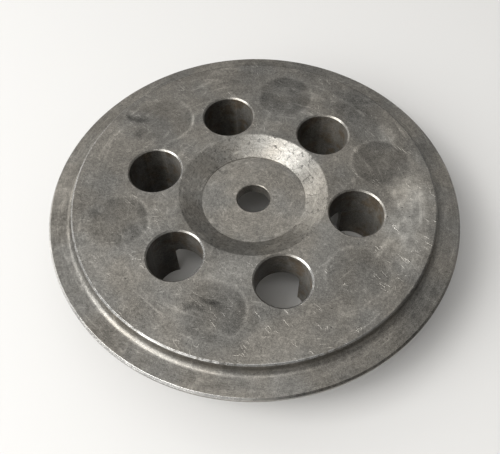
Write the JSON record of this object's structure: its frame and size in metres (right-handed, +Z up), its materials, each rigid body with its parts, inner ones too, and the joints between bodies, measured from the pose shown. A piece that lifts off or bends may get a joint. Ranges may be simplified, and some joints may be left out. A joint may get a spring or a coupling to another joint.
{
  "type": "clutch pressure plate",
  "caption": "Round cast aluminium clutch pressure plate: raised platform with a dished centre, thin friction flange, and spring wells in towers on a lobed hub.",
  "frame": {"origin": "centre of the plane that the tower feet stand on", "axes": "+Z up through the push-rod hole, out of the machined top face; +X through the first spring well"},
  "size_m": [0.15, 0.15, 0.028],
  "materials": {
    "cast_aluminium": "dull grey die casting with machined faces, stained and lightly nicked from use"
  },
  "bodies": {
    "root": {"pressure_plate": "cast_aluminium"}
  },
  "joints": []
}
